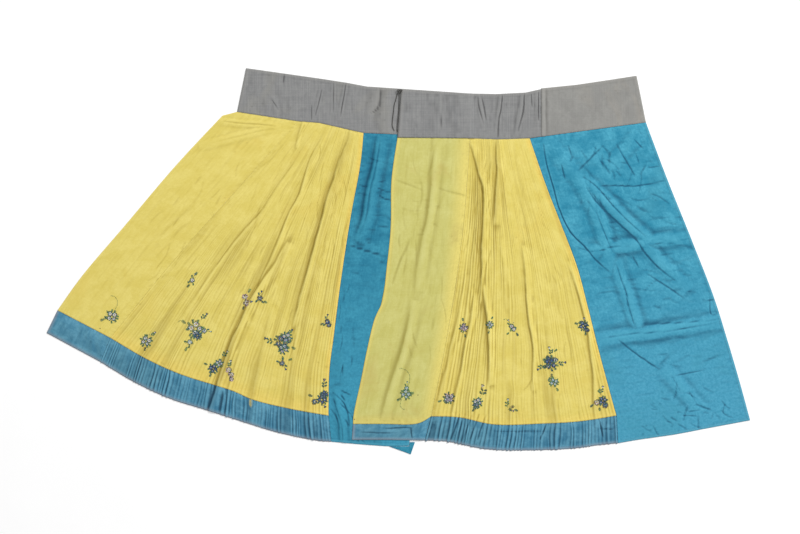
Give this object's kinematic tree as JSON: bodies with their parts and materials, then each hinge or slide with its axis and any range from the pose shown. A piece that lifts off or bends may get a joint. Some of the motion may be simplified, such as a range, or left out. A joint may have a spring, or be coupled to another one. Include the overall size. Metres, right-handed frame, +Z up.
{
  "type": "embroidered skirt",
  "caption": "Pleated wrap skirt laid open and flat: two overlapping yellow silk aprons with blue underlaps and hem bands, scattered embroidered flowers and one grey cotton waistband.",
  "frame": {"origin": "the middle of the skirt's outline, on the surface that it lies on", "axes": "+Z up from the surface, +Y from the hem towards the waist, +X from apron A to apron B along the waistband"},
  "size_m": [1.864, 1.023, 0.0078],
  "materials": {
    "silk_yellow": "soft low sheen, fine plain weave, creased",
    "silk_green_yellow": "soft low sheen, fine plain weave, creased",
    "silk_blue_dark": "fine ribbed silk, low sheen, creased",
    "silk_blue": "fine ribbed silk, low sheen, creased",
    "hem_blue": "pleated silk band, low sheen, worn at its edge",
    "cotton_grey": "matt plain-weave cotton, folded double",
    "cotton_warm_grey": "matt plain-weave cotton, folded double",
    "tie_thread": "matt twisted thread"
  },
  "bodies": {
    "root": {"panel_a_flat": "silk_yellow", "panel_a_pleated": "silk_yellow", "underlap_a": "silk_blue_dark", "underlap_a_corner": "silk_blue_dark", "hem_a_flat": "hem_blue", "hem_a_pleated": "hem_blue", "panel_b_flat": "silk_green_yellow", "panel_b_pleated": "silk_yellow", "underlap_b": "silk_blue", "hem_b_flat": "hem_blue", "hem_b_pleated": "hem_blue", "waistband_a": "cotton_grey", "waistband_b": "cotton_grey", "waistband_c": "cotton_warm_grey", "tie_knot": "tie_thread", "tie_strand_left": "tie_thread", "tie_strand_right": "tie_thread"}
  },
  "joints": []
}
